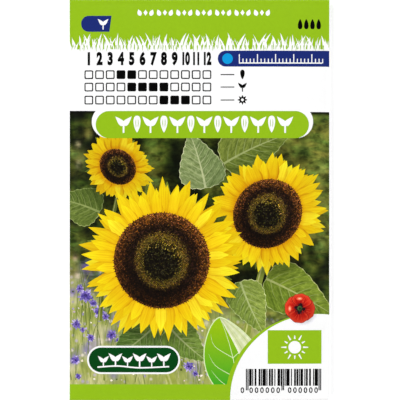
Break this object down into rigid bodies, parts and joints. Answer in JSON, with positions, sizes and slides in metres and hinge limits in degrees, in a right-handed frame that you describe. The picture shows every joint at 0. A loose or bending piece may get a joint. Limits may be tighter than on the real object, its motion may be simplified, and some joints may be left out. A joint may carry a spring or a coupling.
{
  "type": "seed packet",
  "caption": "Sealed flat paper packet, folded from one sheet and glued at the back, with loose sunflower seeds inside; it lies flat or hangs on a seed rack.",
  "frame": {"origin": "under the middle of the packet, on the surface that it lies on", "axes": "+X to the packet's right as its front is read, +Y to its top, +Z out of its front"},
  "size_m": [0.086, 0.1328, 0.0053],
  "materials": {
    "printed_paper": "coated paper, printed, slightly glossy",
    "coated_paper": "coated paper, slightly glossy outside and matt inside",
    "seed_husk": "matt striped husk"
  },
  "bodies": {
    "root": {"front_panel": "printed_paper", "top_flap": "printed_paper", "bottom_flap": "printed_paper", "back_panel": "coated_paper", "side_seam_flap": "coated_paper", "seed_01": "seed_husk", "seed_02": "seed_husk", "seed_03": "seed_husk", "seed_04": "seed_husk", "seed_05": "seed_husk", "seed_06": "seed_husk", "seed_07": "seed_husk", "seed_08": "seed_husk", "seed_09": "seed_husk", "seed_10": "seed_husk", "seed_11": "seed_husk", "seed_12": "seed_husk", "seed_13": "seed_husk", "seed_14": "seed_husk", "seed_15": "seed_husk", "seed_16": "seed_husk"}
  },
  "joints": []
}
